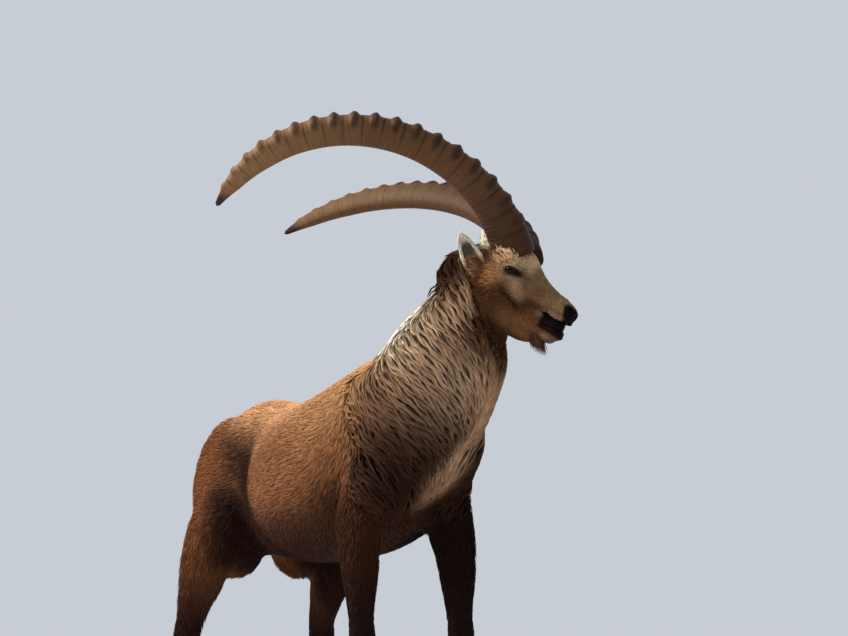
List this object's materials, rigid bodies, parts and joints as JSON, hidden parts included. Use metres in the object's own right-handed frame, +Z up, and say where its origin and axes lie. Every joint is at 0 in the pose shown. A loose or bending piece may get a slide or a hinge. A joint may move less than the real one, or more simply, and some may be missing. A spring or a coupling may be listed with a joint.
{
  "type": "alpine ibex model",
  "caption": "Life-size still model of an adult male alpine ibex, walking, head turned left and mouth open, long arched ridged horns, shaggy neck.",
  "frame": {"origin": "bottom centre of the bounding box, on the floor that the hooves stand on", "axes": "+X the way the body heads, +Y the animal's left, +Z up"},
  "size_m": [1.3418, 0.7068, 1.4486],
  "materials": {
    "body_coat": "short dense hair",
    "neck_coat": "long coarse hair",
    "face_coat": "short fine hair",
    "dark_coat": "short dense hair",
    "ear_coat": "short fine hair",
    "horn": "keratin, ridged",
    "hoof": "keratin, smooth",
    "eye": "wet gloss"
  },
  "bodies": {
    "root": {"claw_fore_left_inner": "hoof", "claw_fore_left_outer": "hoof", "claw_fore_right_inner": "hoof", "claw_fore_right_outer": "hoof", "claw_hind_left_inner": "hoof", "claw_hind_left_outer": "hoof", "claw_hind_right_inner": "hoof", "claw_hind_right_outer": "hoof", "dewclaw_fore_left_inner": "hoof", "dewclaw_fore_left_outer": "hoof", "dewclaw_fore_right_inner": "hoof", "dewclaw_fore_right_outer": "hoof", "dewclaw_hind_left_inner": "hoof", "dewclaw_hind_left_outer": "hoof", "dewclaw_hind_right_inner": "hoof", "dewclaw_hind_right_outer": "hoof", "ear_left": "ear_coat", "ear_right": "ear_coat", "eye_left": "eye", "eye_right": "eye", "foreleg_lower_left": "dark_coat", "foreleg_lower_right": "dark_coat", "foreleg_upper_left": "body_coat", "foreleg_upper_right": "body_coat", "head": "face_coat", "hindleg_lower_left": "dark_coat", "hindleg_lower_right": "dark_coat", "hindleg_upper_left": "body_coat", "hindleg_upper_right": "body_coat", "horn_left": "horn", "horn_right": "horn", "neck": "neck_coat", "tail": "dark_coat", "torso": "body_coat"}
  },
  "joints": []
}
